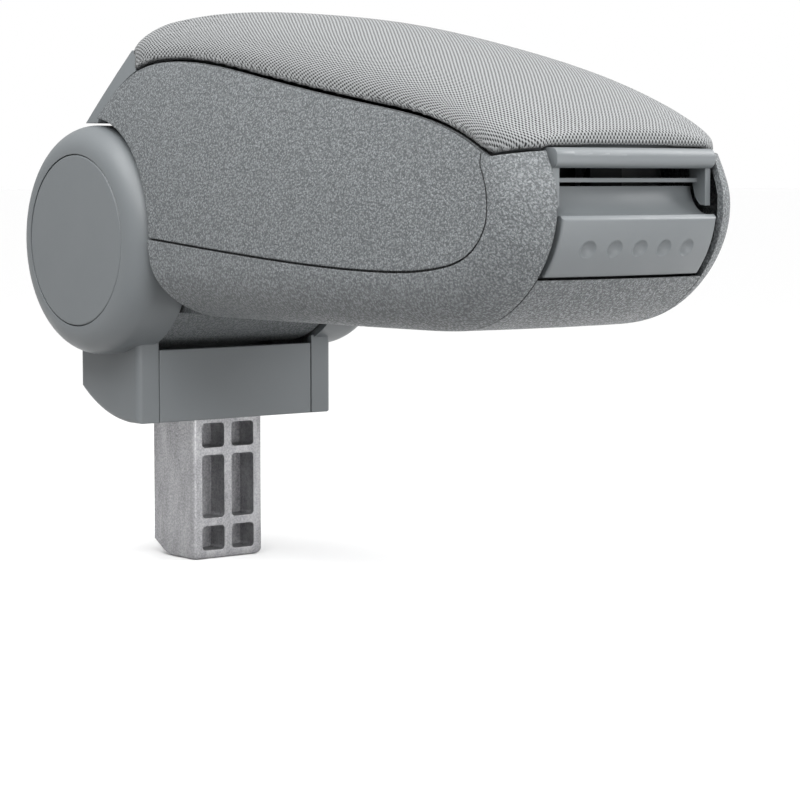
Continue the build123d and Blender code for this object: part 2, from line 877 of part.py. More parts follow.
# Return spring between the bracket and the back of the paddle
spring_back = tray_front + bracket_plate + side_gap + spring_wire
spring_start = (axis_x + spring_back, 0, axis_z + spring_z)
spring_length = paddle_back_x - side_gap - spring_wire - spring_back
with BuildPart() as latch_spring:
    with BuildLine():
        coil = Helix(
            spring_length / spring_turns, spring_length, spring_radius, spring_start, direction=(1, 0, 0)
        )
    with BuildSketch(Plane(coil @ 0, z_dir=coil % 0)):
        Circle(spring_wire)
    sweep()
finish(latch_spring, "latch_spring")

# Release paddle with finger scoop, five dimples and a catch behind it
with BuildSketch() as paddle_outline:
    with BuildLine():
        Line((paddle_back_x, paddle_face_low[1]), paddle_face_low)
        ThreePointArc(paddle_face_low, paddle_face_mid, paddle_face_top)
        Line(paddle_face_top, paddle_brow)
        ThreePointArc(paddle_brow, scoop_mid, scoop_top)
        Polyline(
            scoop_top,
            (paddle_back_x, scoop_top[1]),
            (paddle_back_x, paddle_face_low[1]),
        )
    make_face()

with BuildPart() as latch_paddle:
    add(bowed_bar(paddle_outline.sketch, paddle_half_width))
    front_faces = latch_paddle.faces().filter_by(lambda face: face.center().X > axis_x + paddle_face_low[0])
    fillet(front_faces.sort_by(SortBy.AREA)[-1].edges(), paddle_edge_round)
    with BuildSketch(side_plane(0)):
        with Locations(latch_pin):
            Circle(latch_boss_radius)
    extrude(amount=paddle_half_width - side_gap, both=True)
    stem_front = catch_stem_back + catch_stem_thickness
    with BuildSketch(side_plane(0)):
        with BuildLine():
            Polyline(
                (paddle_face_low[0] - latch_boss_radius, catch_arm_low),
                (catch_stem_back, catch_arm_low),
                (catch_stem_back, catch_stem_top),
                (stem_front, catch_stem_top),
                catch_nose_tip,
                (stem_front, catch_nose_low),
                (stem_front, catch_arm_high),
                (paddle_face_low[0] - latch_boss_radius, catch_arm_high),
                close=True,
            )
        make_face()
    extrude(amount=catch_half_width, both=True)
    with BuildSketch(side_plane(0)):
        with Locations(latch_pin):
            Circle(latch_pin_radius + fit_gap)
    extrude(amount=half_width, both=True, mode=Mode.SUBTRACT)
    dimple_sink = math.sqrt(dimple_ball**2 - dimple_width**2 / 4)
    bow_centre = nose_x - nose_bow_radius
    face_reach = paddle_face_mid[0] - bow_centre
    for number in range(dimple_count):
        dimple_y = (number - (dimple_count - 1) / 2) * dimple_pitch
        dimple_x = bow_centre + math.sqrt(face_reach**2 - dimple_y**2) + dimple_sink
        with Locations((axis_x + dimple_x, dimple_y, axis_z + dimple_z)):
            Sphere(dimple_ball, mode=Mode.SUBTRACT)
finish(latch_paddle, "latch_paddle")


def under_seam(rise, back):
    """Area below the seam line, raised and moved back."""
    with BuildSketch() as area:
        with BuildLine():
            line = seam_curve(rise, back)
            far = nose_x + edge_round
            Polyline(line @ 1, (far, shoulder_z(line @ 1, far)), (far, 0), ((line @ 0).X, 0), line @ 0)
        make_face()
    return area.sketch


def lid_face(grow):
    """Side outline of the lid frame: board above the seam and rear skirt, grown by a clearance."""
    skirt_head = skirt_outer_high[1] - lid_thickness
    with BuildSketch() as outline:
        add(under_seam(lid_gap + lid_thickness + grow, 0))
        with Locations((skirt_outer_high[0] - half_width, 0)):
            Rectangle(2 * half_width, 4 * envelope_top, mode=Mode.SUBTRACT)
        with BuildLine():
            Polyline(
                (skirt_outer_low[0] - grow, skirt_outer_low[1]),
                (skirt_outer_high[0] - grow, skirt_outer_high[1] + grow),
                (skirt_outer_high[0] + skirt_depth, skirt_head + grow),
                (skirt_outer_high[0] + skirt_depth, skirt_outer_low[1]),
                (skirt_outer_low[0] + skirt_depth, skirt_outer_low[1]),
                close=True,
            )
        make_face()
        add(under_seam(lid_gap, lid_gap), mode=Mode.SUBTRACT)
    return outline.sketch


def lid_core(grow):
    """Lid frame's board and rear skirt, grown by a clearance; the cover turns down round the board."""
    with BuildPart() as rim:
        add(block(board_from + grow, nose_x + edge_round, -half_width, half_width, 0, envelope_top))
        add(envelope(board_inset - grow), mode=Mode.SUBTRACT)
    with BuildPart() as core:
        with BuildSketch(side_plane(0)):
            add(lid_face(grow))
        extrude(amount=half_width, both=True)
        add(envelope(lid_inset - grow), mode=Mode.INTERSECT)
        add(rim.part, mode=Mode.SUBTRACT)
    return core.part


def lip_face(grow):
    """Side outline of the front lip, grown by a clearance."""
    with BuildSketch() as outline:
        with Locations((lip_front - lip_depth / 2, (lip_low + lip_high) / 2)):
            RectangleRounded(lip_depth + 2 * grow, lip_high - lip_low + 2 * grow, lip_round)
    return outline.sketch


# Moulded lid frame with rear skirt, hinge knuckles, front lip and catch rib
lip_front = nose_x - lip_back
rib_front = nose_x - catch_rib_back
with BuildSketch() as rib_outline:
    with Locations((rib_front - catch_rib_depth / 2, (catch_rib_low + catch_rib_high) / 2)):
        Rectangle(catch_rib_depth, catch_rib_high - catch_rib_low)

with BuildSketch() as jamb_outline:
    with BuildLine():
        Polyline(
            (jamb_front, lip_high - lip_round),
            (jamb_front, jamb_low),
            jamb_sole,
            jamb_heel,
            (jamb_back, jamb_calf_z),
            (jamb_back, lip_high - lip_round),
            close=True,
        )
    make_face()

with BuildPart() as lid_jambs:
    add(bowed_bar(jamb_outline.sketch, lip_half_width))
    add(block(0, nose_x, -jamb_inner_y, jamb_inner_y, 0, envelope_top), mode=Mode.SUBTRACT)

striker_top = seam_points[-1][1] + lid_gap
with BuildPart() as lid_base:
    add(lid_core(0))
    add(bowed_bar(lip_face(0), lip_half_width))
    add(lid_jambs.part)
    add(
        block(
            striker_x,
            striker_flange_front,
            -striker_half_width,
            striker_half_width,
            striker_top,
            lip_high,
        )
    )
    add(bowed_bar(rib_outline.sketch, lip_half_width - catch_web_width / 2))
    web_outer = lip_half_width - catch_web_width / 2
    web_inner = web_outer - catch_web_width
    web_back = rib_front - catch_rib_depth - catch_web_width
    for web_from, web_to in ((web_inner, web_outer), (-web_outer, -web_inner)):
        add(block(web_back, rib_front - catch_web_width, web_from, web_to, catch_rib_low, lip_high))
    knuckle_width = knuckle_outer_y - knuckle_inner_y
    for knuckle_from, knuckle_to in (
        (knuckle_inner_y, knuckle_outer_y),
        (-knuckle_outer_y, -knuckle_inner_y),
    ):
        with BuildSketch(side_plane(knuckle_to)):
            with BuildLine():
                Polyline(
                    lid_pin,
                    (lid_pin[0], lid_pin[1] - knuckle_radius),
                    skirt_outer_low,
                    skirt_foot,
                    (skirt_outer_low[0] + knuckle_radius, skirt_outer_low[1] + 2 * knuckle_radius),
                    (lid_pin[0], lid_pin[1] + knuckle_radius),
                    close=True,
                )
            make_face()
            with Locations(lid_pin):
                Circle(knuckle_radius)
                Circle(lid_pin_radius + fit_gap, mode=Mode.SUBTRACT)
        extrude(amount=knuckle_width)
    for screw_y in (-striker_screw_y, striker_screw_y):
        add(
            upright_hole(striker_screw_x, screw_y, lip_low, lip_high, striker_screw_radius + fit_gap),
            mode=Mode.SUBTRACT,
        )
finish(lid_base, "lid_base")

# Steel striker under the front of the lid, held by two screws
flange_low = striker_top - striker_flange
with BuildPart() as lid_striker:
    with BuildSketch(side_plane(0)):
        with BuildLine():
            Polyline(
                (striker_x, striker_top),
                (striker_x, striker_shoulder),
                striker_tip,
                (striker_x, striker_low),
                (striker_x + striker_thickness, striker_low),
                (striker_x + striker_thickness, flange_low),
                (striker_flange_front, flange_low),
                (striker_flange_front, striker_top),
                close=True,
            )
        make_face()
    extrude(amount=striker_half_width, both=True)
    for screw_y in (-striker_screw_y, striker_screw_y):
        add(
            upright_hole(striker_screw_x, screw_y, striker_low, lip_high, striker_screw_radius + fit_gap),
            mode=Mode.SUBTRACT,
        )
finish(lid_striker, "lid_striker")

with BuildPart() as striker_screws:
    for screw_y in (-striker_screw_y, striker_screw_y):
        shank = lip_high - flange_low - side_gap
        add(screw(striker_screw_x, screw_y, flange_low, striker_screw_head, striker_screw_radius, shank))
finish(striker_screws, "striker_screws")


def cushion_section(station):
    """Upright section of the cushion: flat flanks up to the seam and a full, rounded crown."""
    x, seam_z, side, crest_z = station
    crown = []
    for share in (*cushion_shares, 0, *(-share for share in reversed(cushion_shares))):
        rise = (1 - abs(share) ** cushion_fullness) ** (1 / cushion_fullness)
        crown.append((share * side, seam_z + rise * (crest_z - seam_z)))
    with BuildSketch(Plane((axis_x + x, 0, axis_z), x_dir=(0, 1, 0), z_dir=(1, 0, 0))) as section:
        with BuildLine():
            Polyline((-side, seam_z), (-side, cushion_floor), (side, cushion_floor), (side, seam_z))
            Spline((side, seam_z), *crown, (-side, seam_z))
        make_face()
    return section.sketch


# Padded top of the lid
with BuildPart() as lid_cushion:
    loft(sections=[cushion_section(station) for station in cushion_stations])
    with BuildSketch(side_plane(0)):
        add(under_seam(lid_gap, 0))
        add(under_seam(lid_gap, lid_gap))
    extrude(amount=half_width + edge_round, both=True, mode=Mode.SUBTRACT)
    add(lid_core(cushion_gap), mode=Mode.SUBTRACT)
    add(bowed_bar(lip_face(cushion_gap), lip_half_width + cushion_gap), mode=Mode.SUBTRACT)
finish(lid_cushion, "lid_cushion")
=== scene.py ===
"""Looks of a car centre armrest: a padded storage box that tilts on a bracket with a plug-in post.

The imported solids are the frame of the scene. The mouldings get their leather grain and satin skins, and the
post gets its cast skin. A foam pad under tight woven fabric, two flank panels, a release paddle and its
return spring are made here, each in the place of its plain solid.
"""

import logging
import math
from abc import ABC, abstractmethod
from bisect import bisect_right
from collections.abc import Callable, Iterable
from dataclasses import dataclass, field
from enum import Enum
from itertools import pairwise
from typing import ClassVar

import bmesh
import bpy
from mathutils import Matrix, Vector


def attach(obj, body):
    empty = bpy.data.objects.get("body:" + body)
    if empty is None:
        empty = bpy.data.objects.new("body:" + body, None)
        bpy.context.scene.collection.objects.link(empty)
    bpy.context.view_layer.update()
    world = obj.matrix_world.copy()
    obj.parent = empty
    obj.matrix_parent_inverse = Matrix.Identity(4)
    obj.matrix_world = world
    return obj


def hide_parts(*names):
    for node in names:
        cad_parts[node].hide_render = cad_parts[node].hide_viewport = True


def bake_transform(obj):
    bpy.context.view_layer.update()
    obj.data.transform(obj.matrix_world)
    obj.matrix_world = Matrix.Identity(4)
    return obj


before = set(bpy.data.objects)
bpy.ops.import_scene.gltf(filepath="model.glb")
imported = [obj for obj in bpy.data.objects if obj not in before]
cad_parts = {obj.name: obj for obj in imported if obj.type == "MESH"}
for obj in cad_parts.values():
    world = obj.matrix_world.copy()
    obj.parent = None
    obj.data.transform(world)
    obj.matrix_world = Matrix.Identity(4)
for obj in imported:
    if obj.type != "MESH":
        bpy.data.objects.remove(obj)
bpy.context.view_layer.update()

Colour = tuple[float, float, float]
Place = tuple[float, float, float]
Span = tuple[float, float]
Socket = bpy.types.NodeSocket

LOG = logging.getLogger("armrest")
MM = 0.001
WELD = 0.01 * MM
FIRST_FRAME = 1
FULL_SPAN: Span = (0.0, 1.0)
NOISE_SPAN: Span = (0.3, 0.7)
NOISE_MIDDLE: Colour = (0.5, 0.5, 0.5)


class Slot(Enum):
    """The record's material slots."""

    SATIN = "satin_plastic"
    GRAINED = "grained_plastic"
    DARK = "dark_plastic"
    FABRIC = "lid_fabric"
    CAST = "die_cast"
    STEEL = "steel"
    NYLON = "nylon"


class Body(Enum):
    """The bodies that the joints move."""

    BRACKET = "bracket"
    BOX = "box"
    LID = "lid"
    LATCH = "latch"


def share_of(value: float, low: float, high: float) -> float:
    """Returns how far a value lies on the way from low to high, from 0 to 1."""
    return min(max((value - low) / (high - low), 0.0), 1.0)


def add_object(name: str, data: bpy.types.ID) -> bpy.types.Object:
    """Adds an object to the scene.

    Args:
        name: the object's name.
        data: its mesh, light or camera.

    Returns:
        The new object.
    """
    made = bpy.data.objects.new(name, data)
    bpy.context.scene.collection.objects.link(made)
    return made


def add_mesh(name: str, work: bmesh.types.BMesh) -> bpy.types.Object:
    """Turns finished mesh work into an object of the scene.

    Args:
        name: the name of the object and of its mesh.
        work: the mesh work, which is freed.

    Returns:
        The new object.
    """
    mesh = bpy.data.meshes.new(name)
    work.to_mesh(mesh)
    work.free()
    return add_object(name, mesh)


class Graph:
    """A node tree with short ways to add nodes and join them."""

    mix_colours: ClassVar[tuple[int, int]] = (6, 7)
    mix_result: ClassVar[int] = 2
    edge_samples: ClassVar[int] = 4

    def __init__(self, tree: bpy.types.NodeTree) -> None:
        """Keeps the tree that the nodes go into."""
        self.tree = tree

    def add(self, kind: str, **settings: object) -> bpy.types.Node:
        """Adds one node.

        Args:
            kind: Blender's name of the node type.
            settings: the node's own properties and their values.

        Returns:
            The new node.
        """
        node = self.tree.nodes.new(kind)
        for key, value in settings.items():
            setattr(node, key, value)
        return node

    def feed(self, socket: Socket, value: Socket | float | Colour) -> None:
        """Joins another node's output to an input, or sets the input to a plain value.

        Args:
            socket: the input.
            value: the output or the plain value.
        """
        if isinstance(value, bpy.types.NodeSocket):
            self.tree.links.new(value, socket)
        else:
            socket.default_value = value

    def join(self, node: bpy.types.Node, **values: Socket | float) -> bpy.types.Node:
        """Feeds a node's inputs by their names.

        Args:
            node: the node that is fed.
            values: what each named input gets.

        Returns:
            The same node.
        """
        for name, value in values.items():
            self.feed(node.inputs[name], value)
        return node

    def fill(self, node: bpy.types.Node, *values: Socket | float | Colour) -> Socket:
        """Feeds a node's inputs in their order.

        Args:
            node: the node that is fed.
            values: what the inputs get.

        Returns:
            The node's first output.
        """
        for socket, value in zip(node.inputs, values):
            self.feed(socket, value)
        return node.outputs[0]

    def math(self, operation: str, *values: Socket | float) -> Socket:
        """Adds a Math node and returns its output."""
        return self.fill(self.add("ShaderNodeMath", operation=operation), *values)

    def vector_math(self, operation: str, *values: Socket | Colour) -> Socket:
        """Adds a Vector Math node and returns its vector output."""
        return self.fill(self.add("ShaderNodeVectorMath", operation=operation), *values)

    def scaled(self, vector: Socket, factor: Socket | float) -> Socket:
        """Returns a vector times a number."""
        node = self.add("ShaderNodeVectorMath", operation="SCALE")
        return self.join(node, Vector=vector, Scale=factor).outputs[0]

    def noise(
        self, vector: Socket, scale: float, detail: float, roughness: float = 0.5
    ) -> bpy.types.NodeOutputs:
        """Adds a Noise Texture on the given coordinates and returns its outputs."""
        node = self.add("ShaderNodeTexNoise")
        return self.join(node, Vector=vector, Scale=scale, Detail=detail, Roughness=roughness).outputs

    def remap(self, value: Socket, span: Span, reach: Span = FULL_SPAN) -> Socket:
        """Adds a clamped, smooth Map Range from one span to another and returns its output."""
        node = self.add("ShaderNodeMapRange", interpolation_type="SMOOTHSTEP")
        return self.fill(node, value, *span, *reach)

    def mix(self, factor: Socket, first: Socket | Colour, second: Socket | Colour) -> Socket:
        """Adds a colour Mix.

        Args:
            factor: the second colour's share.
            first: the colour at a share of nothing.
            second: the colour at a full share.

        Returns:
            The mixed colour.
        """
        node = self.join(self.add("ShaderNodeMix", data_type="RGBA"), Factor=factor)
        for place, colour in zip(self.mix_colours, (first, second)):
            self.feed(node.inputs[place], (*colour, 1.0) if isinstance(colour, tuple) else colour)
        return node.outputs[self.mix_result]

    def bump(self, height: Socket, distance: float, strength: float, normal: Socket | None = None) -> Socket:
        """Adds a Bump node.

        Args:
            height: the height that changes over the surface.
            distance: how far a height of one stands up, in metres.
            strength: the share of the bump that shows.
            normal: a normal that the bump adds to.

        Returns:
            The bumped normal.
        """
        node = self.join(self.add("ShaderNodeBump"), Strength=strength, Distance=distance, Height=height)
        if normal is not None:
            self.feed(node.inputs["Normal"], normal)
        return node.outputs[0]

    def soft_edge(self, radius: float) -> Socket:
        """Adds a Bevel node that rounds the shading of the edges and returns its normal."""
        return self.join(self.add("ShaderNodeBevel", samples=self.edge_samples), Radius=radius).outputs[0]

    def effect(self, effect: "Effect", vector: Socket) -> bpy.types.NodeOutputs:
        """Places a shared effect on the given coordinates and returns what it gives."""
        return self.join(self.add("ShaderNodeGroup", node_tree=effect.group()), Vector=vector).outputs


class Effect(ABC):
    """A surface effect as a node group that is built once and placed in each material that needs it."""

    title: ClassVar[str]
    takes: ClassVar[dict[str, float]]
    gives: ClassVar[tuple[str, ...]]

    def group(self) -> bpy.types.NodeTree:
        """Builds the effect's node group on its first use.

        Returns:
            The node group.
        """
        tree = bpy.data.node_groups.get(self.title)
        if tree is not None:
            return tree
        tree = bpy.data.node_groups.new(self.title, "ShaderNodeTree")
        tree.interface.new_socket("Vector", in_out="INPUT", socket_type="NodeSocketVector")
        for name, value in self.takes.items():
            socket = tree.interface.new_socket(name, in_out="INPUT", socket_type="NodeSocketFloat")
            socket.default_value = value
        for name in self.gives:
            tree.interface.new_socket(name, in_out="OUTPUT", socket_type="NodeSocketFloat")
        graph = Graph(tree)
        start = graph.add("NodeGroupInput")
        end = graph.add("NodeGroupOutput")
        self.wire(graph, start.outputs, end.inputs)
        return tree

    def counted(self, graph: Graph, given: bpy.types.NodeOutputs, unit: str) -> Socket:
        """Returns the coordinates counted in one of the lengths that the effect takes."""
        return graph.scaled(given["Vector"], graph.math("DIVIDE", 1.0, given[unit]))

    def drift(
        self, graph: Graph, vector: Socket, scale: float, detail: float, reach: Socket | float
    ) -> Socket:
        """Lets coordinates wander evenly about their places.

        Args:
            graph: the group's nodes.
            vector: the coordinates.
            scale: the scale of the noise that they wander by.
            detail: its detail.
            reach: how far they wander.

        Returns:
            The coordinates after that.
        """
        wander = graph.noise(vector, scale, detail)["Color"]
        centred = graph.vector_math("SUBTRACT", wander, NOISE_MIDDLE)
        return graph.vector_math("ADD", vector, graph.scaled(centred, reach))

    @abstractmethod
    def wire(self, graph: Graph, given: bpy.types.NodeOutputs, made: bpy.types.NodeInputs) -> None:
        """Wires the group.

        Args:
            graph: the group's nodes.
            given: what the group takes.
            made: what it gives.
        """


class LeatherGrain(Effect):
    """Short wrinkles and pebbles, as a grained mould leaves on plastic."""

    title = "leather_grain"
    takes = {"Cell": 1.05 * MM, "Warp": 1.4}
    gives = ("Height", "Tip")
    detail: ClassVar[float] = 2.0
    warp_scale: ClassVar[float] = 0.6
    cell_softness: ClassVar[float] = 0.3
    dome_span: ClassVar[Span] = (0.0, 0.8)
    dome_fall: ClassVar[Span] = (1.0, 0.0)
    dome_share: ClassVar[float] = 0.4
    tooth_scale: ClassVar[float] = 1.5
    tooth_roughness: ClassVar[float] = 0.6
    tooth_share: ClassVar[float] = 1.1
    tip_span: ClassVar[Span] = (0.45, 1.05)

    def wire(self, graph: Graph, given: bpy.types.NodeOutputs, made: bpy.types.NodeInputs) -> None:
        """Wires warped pebbles with a finer tooth, and the tips that catch the light.

        Args:
            graph: the group's nodes.
            given: what the group takes.
            made: what it gives.
        """
        spread = self.counted(graph, given, "Cell")
        warped = self.drift(graph, spread, self.warp_scale, self.detail, given["Warp"])
        cells = graph.add("ShaderNodeTexVoronoi", feature="SMOOTH_F1")
        graph.join(cells, Vector=warped, Scale=1.0, Smoothness=self.cell_softness)
        dome = graph.remap(cells.outputs["Distance"], self.dome_span, self.dome_fall)
        tooth = graph.noise(warped, self.tooth_scale, self.detail, self.tooth_roughness)["Fac"]
        domed = graph.math("MULTIPLY", dome, self.dome_share)
        height = graph.math("MULTIPLY_ADD", tooth, self.tooth_share, domed)
        graph.feed(made["Height"], height)
        graph.feed(made["Tip"], graph.remap(height, self.tip_span))


class MouldSkin(Effect):
    """The faint tooth and cloudy gloss of a spark-finished mould."""

    title = "mould_skin"
    takes = {"Tooth": 0.35 * MM}
    gives = ("Height", "Cloud")
    tooth_detail: ClassVar[float] = 2.0
    cloud_scale: ClassVar[float] = 45.0
    cloud_detail: ClassVar[float] = 3.0

    def wire(self, graph: Graph, given: bpy.types.NodeOutputs, made: bpy.types.NodeInputs) -> None:
        """Wires a fine tooth and slow clouds.

        Args:
            graph: the group's nodes.
            given: what the group takes.
            made: what it gives.
        """
        spread = self.counted(graph, given, "Tooth")
        graph.feed(made["Height"], graph.noise(spread, 1.0, self.tooth_detail)["Fac"])
        graph.feed(made["Cloud"], graph.noise(given["Vector"], self.cloud_scale, self.cloud_detail)["Fac"])


class CastSkin(Effect):
    """Speckle, flow marks and small pits of raw die-cast metal."""

    title = "cast_skin"
    takes = {"Speck": 0.9 * MM}
    gives = ("Speckle", "Flow", "Height")
    speck_detail: ClassVar[float] = 4.0
    speck_roughness: ClassVar[float] = 0.7
    speck_span: ClassVar[Span] = (0.32, 0.68)
    speck_height: ClassVar[float] = 0.5
    flow_draw: ClassVar[Place] = (1.0, 1.0, 0.25)
    flow_scale: ClassVar[float] = 140.0
    flow_detail: ClassVar[float] = 3.0
    flow_roughness: ClassVar[float] = 0.6
    pit_scale: ClassVar[float] = 0.45
    pit_detail: ClassVar[float] = 2.0
    pit_span: ClassVar[Span] = (0.25, 0.5)

    def wire(self, graph: Graph, given: bpy.types.NodeOutputs, made: bpy.types.NodeInputs) -> None:
        """Wires the speckle, the drawn-out flow marks and the pits.

        Args:
            graph: the group's nodes.
            given: what the group takes.
            made: what it gives.
        """
        spread = self.counted(graph, given, "Speck")
        speckle = graph.noise(spread, 1.0, self.speck_detail, self.speck_roughness)["Fac"]
        drawn = graph.vector_math("MULTIPLY", given["Vector"], self.flow_draw)
        flow = graph.noise(drawn, self.flow_scale, self.flow_detail, self.flow_roughness)["Fac"]
        pits = graph.remap(graph.noise(spread, self.pit_scale, self.pit_detail)["Fac"], self.pit_span)
        graph.feed(made["Speckle"], graph.remap(speckle, self.speck_span))
        graph.feed(made["Flow"], graph.remap(flow, NOISE_SPAN))
        graph.feed(made["Height"], graph.math("MULTIPLY_ADD", speckle, self.speck_height, pits))


class FineWeave(Effect):
    """A tight mesh weave: raised thread crossings in staggered rows with small dark gaps between."""

    title = "fine_weave"
    takes = {"Along": 2.5 * MM, "Across": 1.7 * MM}
    gives = ("Thread", "Height")
    yarn_scale: ClassVar[float] = 260.0
    yarn_detail: ClassVar[float] = 1.0
    yarn_drift: ClassVar[float] = 0.3 * MM
    thread_span: ClassVar[Span] = (-0.6, 0.3)
    half: ClassVar[float] = 0.5

    def wire(self, graph: Graph, given: bpy.types.NodeOutputs, made: bpy.types.NodeInputs) -> None:
        """Wires two crossed waves, with a little unevenness in the yarn.

        Args:
            graph: the group's nodes.
            given: what the group takes.
            made: what it gives.
        """
        uneven = self.drift(graph, given["Vector"], self.yarn_scale, self.yarn_detail, self.yarn_drift)
        parts = graph.add("ShaderNodeSeparateXYZ")
        graph.feed(parts.inputs[0], uneven)
        waves = []
        for way, pitch in (("X", "Along"), ("Y", "Across")):
            turns = graph.math("DIVIDE", parts.outputs[way], given[pitch])
            waves.append(graph.math("SINE", graph.math("MULTIPLY", turns, math.tau)))
        crossing = graph.math("MULTIPLY", *waves)
        graph.feed(made["Thread"], graph.remap(crossing, self.thread_span))
        graph.feed(made["Height"], graph.math("MULTIPLY_ADD", crossing, self.half, self.half))


@dataclass(frozen=True)
class Finish(ABC):
    """A finish that pieces wear, with the values that are the same all over it."""

    title: str
    slot: Slot
    colour: Colour
    roughness: float

    def material(self) -> bpy.types.Material:
        """Builds the finish's material on its first use.

        Returns:
            The material.
        """
        made = bpy.data.materials.get(self.title)
        if made is not None:
            return made
        made = bpy.data.materials.new(self.title)
        made.use_nodes = True
        graph = Graph(made.node_tree)
        shader = made.node_tree.nodes["Principled BSDF"]
        graph.feed(shader.inputs["Base Color"], (*self.colour, 1.0))
        graph.feed(shader.inputs["Roughness"], self.roughness)
        self.wire(graph, shader.inputs)
        return made

    def place(self, graph: Graph) -> Socket:
        """Returns the object's own coordinates, in metres."""
        return graph.add("ShaderNodeTexCoord").outputs["Object"]

    @abstractmethod
    def wire(self, graph: Graph, shader: bpy.types.NodeInputs) -> None:
        """Wires what changes over the surface.

        Args:
            graph: the material's nodes.
            shader: the shader's inputs.
        """


@dataclass(frozen=True)
class SatinPlastic(Finish):
    """Smooth moulded plastic with a low, even sheen."""

    edge_round: float = 0.5 * MM
    tooth_depth: float = 0.02 * MM
    tooth_strength: float = 0.5
    gloss_spread: float = 0.05

    def wire(self, graph: Graph, shader: bpy.types.NodeInputs) -> None:
        """Wires soft edges, the mould's tooth and a cloudy gloss.

        Args:
            graph: the material's nodes.
            shader: the shader's inputs.
        """
        skin = graph.effect(MouldSkin(), self.place(graph))
        edge = graph.soft_edge(self.edge_round)
        graph.feed(shader["Normal"], graph.bump(skin["Height"], self.tooth_depth, self.tooth_strength, edge))
        gloss = (self.roughness - self.gloss_spread, self.roughness + self.gloss_spread)
        graph.feed(shader["Roughness"], graph.remap(skin["Cloud"], NOISE_SPAN, gloss))


@dataclass(frozen=True)
class GrainedPlastic(Finish):
    """Moulded plastic with a leather grain, whose colour carries painted highlight on the grain's tips and
    painted shade in its creases and grooves.
    """

    # The lighter colour painted on the grain's tips, as painted highlight.
    painted_tip_highlight: Colour
    edge_round: float = 0.8 * MM
    grain_depth: float = 0.45 * MM
    grain_strength: float = 1.0
    crease_roughness: float = 0.65
    groove_reach: float = 2.5 * MM
    groove_samples: int = 6
    groove_span: Span = (0.3, 0.85)
    # Near-black that the ambient occlusion mask paints into grooves and recesses as painted shade.
    painted_groove_shade: Colour = (0.012, 0.013, 0.014)

    def wire(self, graph: Graph, shader: bpy.types.NodeInputs) -> None:
        """Wires the grain into the normal, the gloss and the colour, with painted highlight on the grain's
        tips, painted shade in its creases and painted shade in the grooves.

        Args:
            graph: the material's nodes.
            shader: the shader's inputs.
        """
        grain = graph.effect(LeatherGrain(), self.place(graph))
        edge = graph.soft_edge(self.edge_round)
        graph.feed(shader["Normal"], graph.bump(grain["Height"], self.grain_depth, self.grain_strength, edge))
        # Painted shade: ambient occlusion darkens the colour towards a near-black in grooves, gaps and
        # recesses where shade falls.
        groove = graph.add("ShaderNodeAmbientOcclusion", samples=self.groove_samples)
        graph.join(groove, Distance=self.groove_reach)
        open_share = graph.remap(groove.outputs["AO"], self.groove_span)
        # Painted highlight and shade: the grain's tips get the lighter colour as if they catch the light, and
        # its low creases keep the darker base grey as if in shade.
        skin = graph.mix(grain["Tip"], self.colour, self.painted_tip_highlight)
        graph.feed(shader["Base Color"], graph.mix(open_share, self.painted_groove_shade, skin))
        gloss = (self.crease_roughness, self.roughness)
        graph.feed(shader["Roughness"], graph.remap(grain["Tip"], FULL_SPAN, gloss))


@dataclass(frozen=True)
class WovenFabric(Finish):
    """Fine woven fabric, light threads over dark gaps."""

    gap_colour: Colour
    thread_height: float = 0.35 * MM
    thread_strength: float = 0.7
    sheen: float = 0.08
    map_name: str = "weave"

    def wire(self, graph: Graph, shader: bpy.types.NodeInputs) -> None:
        """Wires the weave on the pad's own unrolled coordinates.

        Args:
            graph: the material's nodes.
            shader: the shader's inputs.
        """
        unrolled = graph.add("ShaderNodeUVMap", uv_map=self.map_name).outputs[0]
        weave = graph.effect(FineWeave(), unrolled)
        graph.feed(shader["Base Color"], graph.mix(weave["Thread"], self.gap_colour, self.colour))
        graph.feed(shader["Normal"], graph.bump(weave["Height"], self.thread_height, self.thread_strength))
        graph.feed(shader["Sheen Weight"], self.sheen)


@dataclass(frozen=True)
class DieCast(Finish):
    """Raw cast metal with a speckled skin."""

    dull_colour: Colour
    metallic: float = 0.85
    edge_round: float = 0.6 * MM
    pit_depth: float = 0.12 * MM
    pit_strength: float = 0.6
    flow_share: float = 0.45
    speckle_share: float = 0.55
    gloss_spread: float = 0.12

    def wire(self, graph: Graph, shader: bpy.types.NodeInputs) -> None:
        """Wires speckle into the colour and gloss, and soft edges and pits into the normal.

        Args:
            graph: the material's nodes.
            shader: the shader's inputs.
        """
        skin = graph.effect(CastSkin(), self.place(graph))
        speckle = graph.math("MULTIPLY", skin["Speckle"], self.speckle_share)
        blotch = graph.math("MULTIPLY_ADD", skin["Flow"], self.flow_share, speckle)
        graph.feed(shader["Base Color"], graph.mix(blotch, self.dull_colour, self.colour))
        graph.feed(shader["Metallic"], self.metallic)
        gloss = (self.roughness + self.gloss_spread, self.roughness)
        graph.feed(shader["Roughness"], graph.remap(skin["Speckle"], FULL_SPAN, gloss))
        edge = graph.soft_edge(self.edge_round)
        graph.feed(shader["Normal"], graph.bump(skin["Height"], self.pit_depth, self.pit_strength, edge))


@dataclass(frozen=True)
class PlainMetal(Finish):
    """Smooth steel, plated or blacked."""

    metallic: float = 1.0
    gloss_spread: float = 0.1

    def wire(self, graph: Graph, shader: bpy.types.NodeInputs) -> None:
        """Wires a slightly cloudy gloss.

        Args:
            graph: the material's nodes.
            shader: the shader's inputs.
        """
        skin = graph.effect(MouldSkin(), self.place(graph))
        graph.feed(shader["Metallic"], self.metallic)
        gloss = (self.roughness, self.roughness + self.gloss_spread)
        graph.feed(shader["Roughness"], graph.remap(skin["Cloud"], NOISE_SPAN, gloss))


